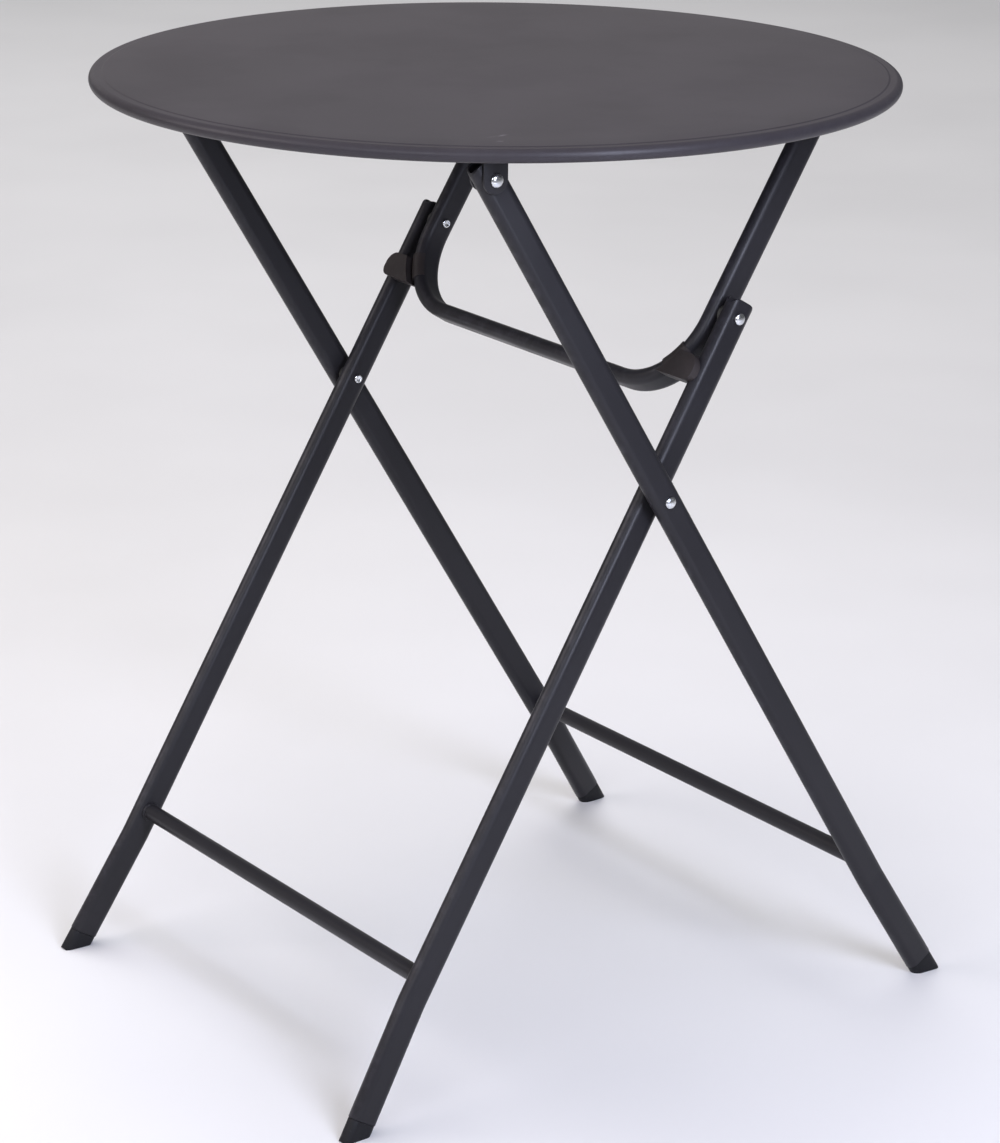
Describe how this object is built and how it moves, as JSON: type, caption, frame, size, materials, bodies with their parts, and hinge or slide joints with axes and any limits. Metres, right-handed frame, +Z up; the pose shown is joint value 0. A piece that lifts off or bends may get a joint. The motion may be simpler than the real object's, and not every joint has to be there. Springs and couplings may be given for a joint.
{
  "type": "folding bistro table",
  "caption": "Round folding bistro table: sheet-metal top with a rolled rim on crossed flat-oval legs, held open by a U-shaped bail with plastic clips.",
  "frame": {"origin": "centre of the table at floor level", "axes": "+Z up; Y along the hinge axes, between the two near legs' side (-Y) and the two far legs' side (+Y); the bail is hinged on the +X side of the top"},
  "size_m": [0.5998, 0.5998, 0.712],
  "materials": {
    "top_coat": "satin anthracite powder coat",
    "frame_coat": "satin anthracite powder coat",
    "zinc": "bright zinc plate",
    "clip_plastic": "matt moulded nylon",
    "cap_plastic": "matt moulded polyethylene",
    "washer_plastic": "matt moulded nylon"
  },
  "bodies": {
    "tabletop": {"tabletop_sheet": "top_coat", "top_rail_left": "frame_coat", "top_rail_right": "frame_coat", "leg_bracket_near": "frame_coat", "leg_bracket_far": "frame_coat", "bail_bracket_near": "frame_coat", "bail_bracket_far": "frame_coat", "leg_hinge_rivet_near": "zinc", "leg_hinge_rivet_far": "zinc", "bail_hinge_rivet_near": "zinc", "bail_hinge_rivet_far": "zinc"},
    "outer_frame": {"outer_leg_near": "frame_coat", "outer_leg_far": "frame_coat", "outer_foot_cap_near": "cap_plastic", "outer_foot_cap_far": "cap_plastic", "cross_rivet_near": "zinc", "cross_rivet_far": "zinc", "cross_washer_near": "washer_plastic", "cross_washer_far": "washer_plastic", "outer_stretcher": "frame_coat"},
    "inner_frame": {"inner_leg_near": "frame_coat", "inner_leg_far": "frame_coat", "inner_foot_cap_near": "cap_plastic", "inner_foot_cap_far": "cap_plastic", "bail_rivet_head_near": "zinc", "bail_rivet_head_far": "zinc", "inner_stretcher": "frame_coat"},
    "bail": {"bail_tube": "frame_coat", "bail_clip_near": "clip_plastic", "bail_clip_far": "clip_plastic", "bail_rivet_tail_near": "zinc", "bail_rivet_tail_far": "zinc", "bail_washer_near": "washer_plastic", "bail_washer_far": "washer_plastic"}
  },
  "joints": [
    {"name": "tabletop_fold", "type": "hinge", "parent": "outer_frame", "child": "tabletop", "pos_m": [-0.15657, 0, 0.6845], "axis": [0, 1, 0], "range_deg": [0, 53.22]},
    {"name": "inner_frame_fold", "type": "hinge", "parent": "outer_frame", "child": "inner_frame", "pos_m": [0, 0, 0.4305], "axis": [0, -1, 0], "range_deg": [0, 60]},
    {"name": "bail_fold", "type": "hinge", "parent": "tabletop", "child": "bail", "pos_m": [0.15657, 0, 0.6845], "axis": [0, 1, 0], "range_deg": [0, 55.3]}
  ],
  "couplings": [
    {"joint": "inner_frame_fold", "follows": "tabletop_fold", "ratio": 1.1273},
    {"joint": "bail_fold", "follows": "tabletop_fold", "ratio": 1.0389}
  ]
}
